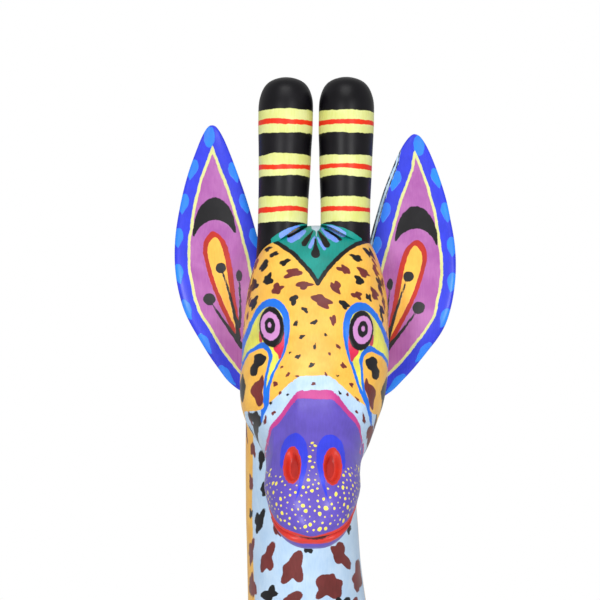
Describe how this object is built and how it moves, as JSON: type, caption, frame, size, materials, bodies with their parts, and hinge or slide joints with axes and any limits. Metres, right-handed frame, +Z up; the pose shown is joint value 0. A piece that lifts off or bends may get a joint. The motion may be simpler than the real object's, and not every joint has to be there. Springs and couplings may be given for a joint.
{
  "type": "carved giraffe figure",
  "caption": "Tall painted wooden giraffe figure for display, with push-fit carved ears, horns and tail, and flat hooves to stand on.",
  "frame": {"origin": "on the ground, under the middle of the figure's bounding box", "axes": "+Z up; the giraffe faces -Y; its left side is at +X"},
  "size_m": [0.1014, 0.3756, 0.7186],
  "materials": {
    "head_paint": "satin acrylic on carved wood, ochre with brown spots, purple muzzle",
    "neck_paint": "satin acrylic on carved wood, light blue front and ochre back with brown patches",
    "body_paint": "satin acrylic on carved wood, ochre back and light blue belly with brown patches",
    "leg_paint": "satin acrylic on carved wood, ochre with banded shins and dotted purple hooves",
    "ear_paint": "satin acrylic on carved wood, ultramarine border round a mauve field",
    "horn_paint": "semi-gloss acrylic on carved wood, black with pale yellow bands",
    "tail_paint": "satin acrylic on carved wood, ochre with a black tuft",
    "dowel_wood": "bare turned hardwood"
  },
  "bodies": {
    "carving": {"head": "head_paint", "neck": "neck_paint", "body": "body_paint", "front_leg_left": "leg_paint", "front_leg_right": "leg_paint", "hind_leg_left": "leg_paint", "hind_leg_right": "leg_paint", "head_dowel_front": "dowel_wood", "head_dowel_rear": "dowel_wood", "neck_dowel_front": "dowel_wood", "neck_dowel_rear": "dowel_wood", "front_leg_dowel_left": "dowel_wood", "front_leg_dowel_right": "dowel_wood", "hind_leg_dowel_left": "dowel_wood", "hind_leg_dowel_right": "dowel_wood"},
    "ear_left": {"ear_left": "ear_paint"},
    "ear_right": {"ear_right": "ear_paint"},
    "horn_left": {"horn_left": "horn_paint"},
    "horn_right": {"horn_right": "horn_paint"},
    "tail": {"tail": "tail_paint"}
  },
  "joints": [
    {"name": "ear_left_pull", "type": "slide", "parent": "carving", "child": "ear_left", "axis": [1, 0, 0], "range_m": [0, 0.012]},
    {"name": "ear_right_pull", "type": "slide", "parent": "carving", "child": "ear_right", "axis": [-1, 0, 0], "range_m": [0, 0.012]},
    {"name": "horn_left_pull", "type": "slide", "parent": "carving", "child": "horn_left", "axis": [0, 0.1564, 0.9877], "range_m": [0, 0.014]},
    {"name": "horn_right_pull", "type": "slide", "parent": "carving", "child": "horn_right", "axis": [0, 0.1564, 0.9877], "range_m": [0, 0.014]},
    {"name": "tail_pull", "type": "slide", "parent": "carving", "child": "tail", "axis": [0, 1, 0], "range_m": [0, 0.022]}
  ]
}
